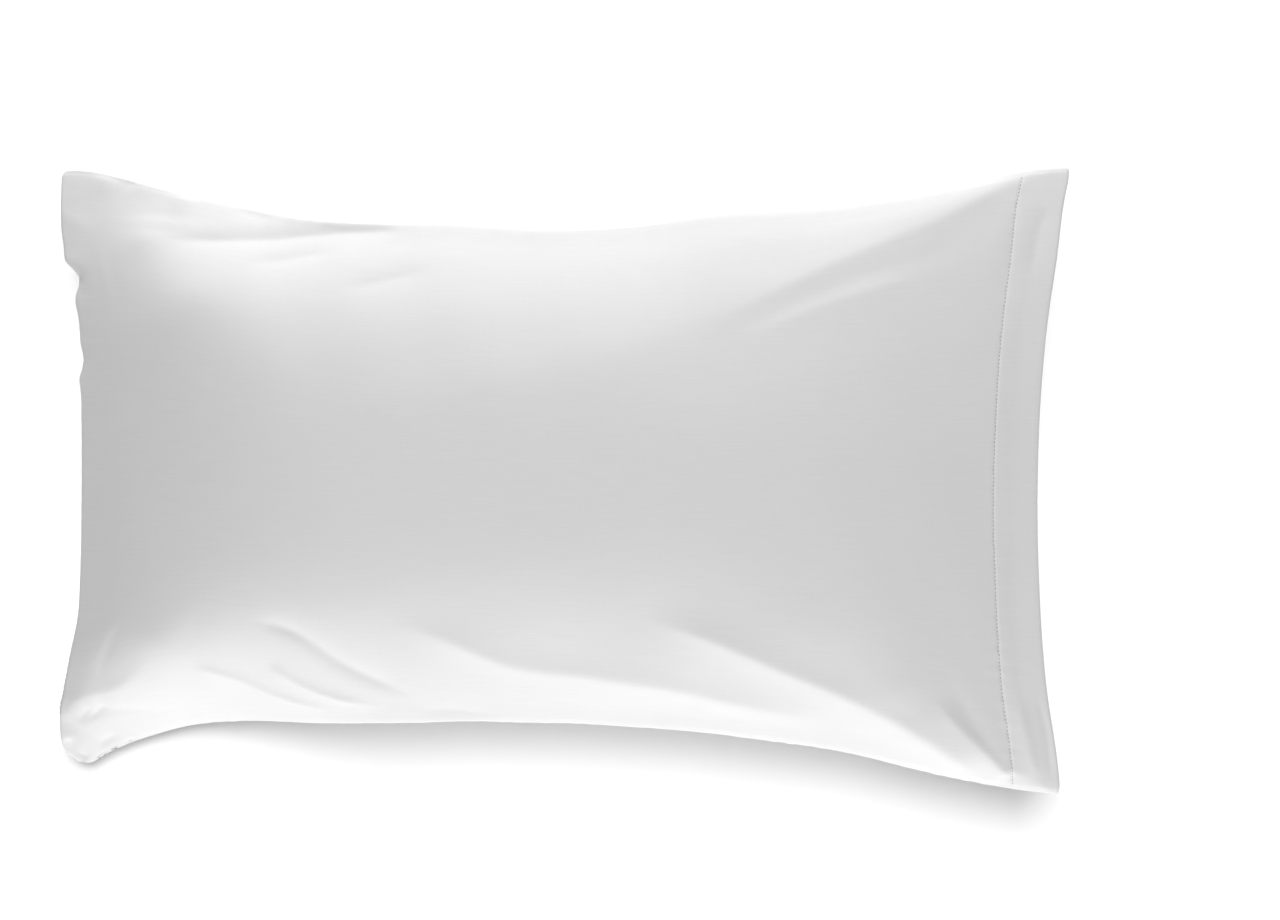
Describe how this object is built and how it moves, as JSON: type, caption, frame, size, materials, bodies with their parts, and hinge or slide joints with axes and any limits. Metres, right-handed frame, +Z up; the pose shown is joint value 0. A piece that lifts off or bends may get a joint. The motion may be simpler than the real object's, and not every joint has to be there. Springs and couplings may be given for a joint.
{
  "type": "pillowcase",
  "caption": "Filled white cotton pillowcase lying on its back, with drawn-in sides, flat corners and an open hemmed mouth at one end.",
  "frame": {"origin": "centre of the bounding box at the height of the surface that the back rests on", "axes": "+X from the closed end to the open hemmed mouth, +Y across the case, +Z up out of the crowned face"},
  "size_m": [0.806, 0.497, 0.152],
  "materials": {
    "cotton": "plain white woven cotton, matt with a faint sheen"
  },
  "bodies": {
    "root": {"pillowcase": "cotton"}
  },
  "joints": []
}
